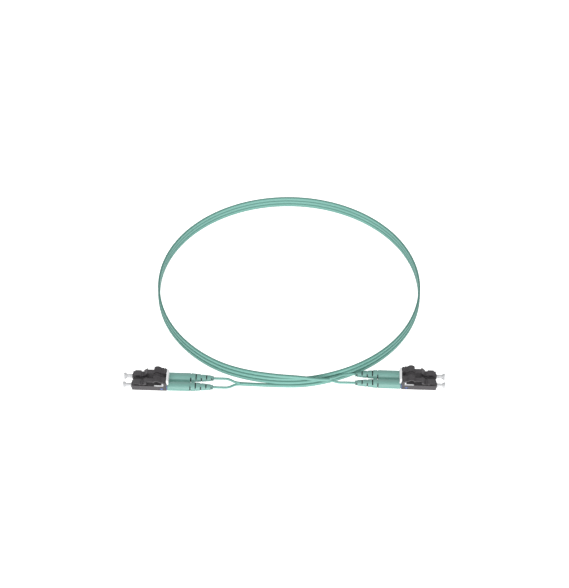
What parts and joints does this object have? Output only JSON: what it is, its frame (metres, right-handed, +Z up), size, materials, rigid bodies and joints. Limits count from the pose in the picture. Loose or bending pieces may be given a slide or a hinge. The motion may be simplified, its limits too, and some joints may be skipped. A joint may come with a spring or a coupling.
{
  "type": "fiber optic patch cord",
  "caption": "Duplex fiber optic patch cord in a round loop of flat aqua cord, with paired latching plugs, bend-relief boots and dust caps at both ends.",
  "frame": {"origin": "on the surface the cord lies on, midway between the two duplex ends", "axes": "+X from the left end to the right end, +Y away from the ends towards the far side of the loop, +Z up"},
  "size_m": [0.1918, 0.1501, 0.0124],
  "materials": {
    "black_plastic": "fine matte moulding",
    "white_plastic": "satin",
    "cap_plastic": "translucent white, soft",
    "white_ceramic": "polished ceramic",
    "nickel_metal": "nickel-plated",
    "spring_steel": "drawn wire",
    "blue_plastic": "satin moulding",
    "aqua_rubber": "soft matte elastomer",
    "aqua_jacket": "smooth extruded jacket"
  },
  "bodies": {
    "cord_and_housings": {"left_a_housing": "black_plastic", "left_a_rear_body": "blue_plastic", "left_a_spring": "spring_steel", "left_a_crimp_sleeve": "nickel_metal", "left_a_boot": "aqua_rubber", "left_a_leg": "aqua_jacket", "left_b_housing": "black_plastic", "left_b_rear_body": "blue_plastic", "left_b_spring": "spring_steel", "left_b_crimp_sleeve": "nickel_metal", "left_b_boot": "aqua_rubber", "left_b_leg": "aqua_jacket", "left_yoke": "white_plastic", "right_a_housing": "black_plastic", "right_a_rear_body": "blue_plastic", "right_a_spring": "spring_steel", "right_a_crimp_sleeve": "nickel_metal", "right_a_boot": "aqua_rubber", "right_a_leg": "aqua_jacket", "right_b_housing": "black_plastic", "right_b_rear_body": "blue_plastic", "right_b_spring": "spring_steel", "right_b_crimp_sleeve": "nickel_metal", "right_b_boot": "aqua_rubber", "right_b_leg": "aqua_jacket", "right_yoke": "white_plastic", "flat_cord_left": "aqua_jacket", "flat_cord_right": "aqua_jacket", "cord_coil": "aqua_jacket"},
    "left_a_latch_body": {"left_a_latch": "black_plastic"},
    "left_a_trigger_body": {"left_a_trigger": "black_plastic"},
    "left_a_ferrule_body": {"left_a_ferrule": "white_ceramic", "left_a_ferrule_flange": "nickel_metal"},
    "left_a_cap_body": {"left_a_dust_cap": "cap_plastic"},
    "left_b_latch_body": {"left_b_latch": "black_plastic"},
    "left_b_trigger_body": {"left_b_trigger": "black_plastic"},
    "left_b_ferrule_body": {"left_b_ferrule": "white_ceramic", "left_b_ferrule_flange": "nickel_metal"},
    "left_b_cap_body": {"left_b_dust_cap": "cap_plastic"},
    "right_a_latch_body": {"right_a_latch": "black_plastic"},
    "right_a_trigger_body": {"right_a_trigger": "black_plastic"},
    "right_a_ferrule_body": {"right_a_ferrule": "white_ceramic", "right_a_ferrule_flange": "nickel_metal"},
    "right_a_cap_body": {"right_a_dust_cap": "cap_plastic"},
    "right_b_latch_body": {"right_b_latch": "black_plastic"},
    "right_b_trigger_body": {"right_b_trigger": "black_plastic"},
    "right_b_ferrule_body": {"right_b_ferrule": "white_ceramic", "right_b_ferrule_flange": "nickel_metal"},
    "right_b_cap_body": {"right_b_dust_cap": "cap_plastic"}
  },
  "joints": [
    {"name": "left_a_latch_hinge", "type": "hinge", "parent": "cord_and_housings", "child": "left_a_latch_body", "pos_m": [-0.08524, -0.00625, 0.0056], "axis": [0, 1, 0], "range_deg": [0, 8], "stiffness_Nm_per_rad": 0.001},
    {"name": "left_a_trigger_hinge", "type": "hinge", "parent": "cord_and_housings", "child": "left_a_trigger_body", "pos_m": [-0.07084, -0.00625, 0.008], "axis": [0, -1, 0], "range_deg": [0, 9.2], "stiffness_Nm_per_rad": 0.0005},
    {"name": "left_a_ferrule_slide", "type": "slide", "parent": "cord_and_housings", "child": "left_a_ferrule_body", "axis": [1, 0, 0], "range_m": [0, 0.001], "stiffness_N_per_m": 300, "springref_m": -0.003, "deforming": ["left_a_spring"]},
    {"name": "left_a_cap_slide", "type": "slide", "parent": "cord_and_housings", "child": "left_a_cap_body", "axis": [-1, 0, 0], "range_m": [0, 0.012]},
    {"name": "left_b_latch_hinge", "type": "hinge", "parent": "cord_and_housings", "child": "left_b_latch_body", "pos_m": [-0.08524, 0, 0.0056], "axis": [0, 1, 0], "range_deg": [0, 8], "stiffness_Nm_per_rad": 0.001},
    {"name": "left_b_trigger_hinge", "type": "hinge", "parent": "cord_and_housings", "child": "left_b_trigger_body", "pos_m": [-0.07084, 0, 0.008], "axis": [0, -1, 0], "range_deg": [0, 9.2], "stiffness_Nm_per_rad": 0.0005},
    {"name": "left_b_ferrule_slide", "type": "slide", "parent": "cord_and_housings", "child": "left_b_ferrule_body", "axis": [1, 0, 0], "range_m": [0, 0.001], "stiffness_N_per_m": 300, "springref_m": -0.003, "deforming": ["left_b_spring"]},
    {"name": "left_b_cap_slide", "type": "slide", "parent": "cord_and_housings", "child": "left_b_cap_body", "axis": [-1, 0, 0], "range_m": [0, 0.012]},
    {"name": "right_a_latch_hinge", "type": "hinge", "parent": "cord_and_housings", "child": "right_a_latch_body", "pos_m": [0.08524, 0.00625, 0.0056], "axis": [0, -1, 0], "range_deg": [0, 8], "stiffness_Nm_per_rad": 0.001},
    {"name": "right_a_trigger_hinge", "type": "hinge", "parent": "cord_and_housings", "child": "right_a_trigger_body", "pos_m": [0.07084, 0.00625, 0.008], "axis": [0, 1, 0], "range_deg": [0, 9.2], "stiffness_Nm_per_rad": 0.0005},
    {"name": "right_a_ferrule_slide", "type": "slide", "parent": "cord_and_housings", "child": "right_a_ferrule_body", "axis": [-1, 0, 0], "range_m": [0, 0.001], "stiffness_N_per_m": 300, "springref_m": -0.003, "deforming": ["right_a_spring"]},
    {"name": "right_a_cap_slide", "type": "slide", "parent": "cord_and_housings", "child": "right_a_cap_body", "axis": [1, 0, 0], "range_m": [0, 0.012]},
    {"name": "right_b_latch_hinge", "type": "hinge", "parent": "cord_and_housings", "child": "right_b_latch_body", "pos_m": [0.08524, 0, 0.0056], "axis": [0, -1, 0], "range_deg": [0, 8], "stiffness_Nm_per_rad": 0.001},
    {"name": "right_b_trigger_hinge", "type": "hinge", "parent": "cord_and_housings", "child": "right_b_trigger_body", "pos_m": [0.07084, 0, 0.008], "axis": [0, 1, 0], "range_deg": [0, 9.2], "stiffness_Nm_per_rad": 0.0005},
    {"name": "right_b_ferrule_slide", "type": "slide", "parent": "cord_and_housings", "child": "right_b_ferrule_body", "axis": [-1, 0, 0], "range_m": [0, 0.001], "stiffness_N_per_m": 300, "springref_m": -0.003, "deforming": ["right_b_spring"]},
    {"name": "right_b_cap_slide", "type": "slide", "parent": "cord_and_housings", "child": "right_b_cap_body", "axis": [1, 0, 0], "range_m": [0, 0.012]}
  ],
  "couplings": [
    {"joint": "left_a_trigger_hinge", "follows": "left_a_latch_hinge", "ratio": 1.15},
    {"joint": "left_b_trigger_hinge", "follows": "left_b_latch_hinge", "ratio": 1.15},
    {"joint": "right_a_trigger_hinge", "follows": "right_a_latch_hinge", "ratio": 1.15},
    {"joint": "right_b_trigger_hinge", "follows": "right_b_latch_hinge", "ratio": 1.15}
  ]
}
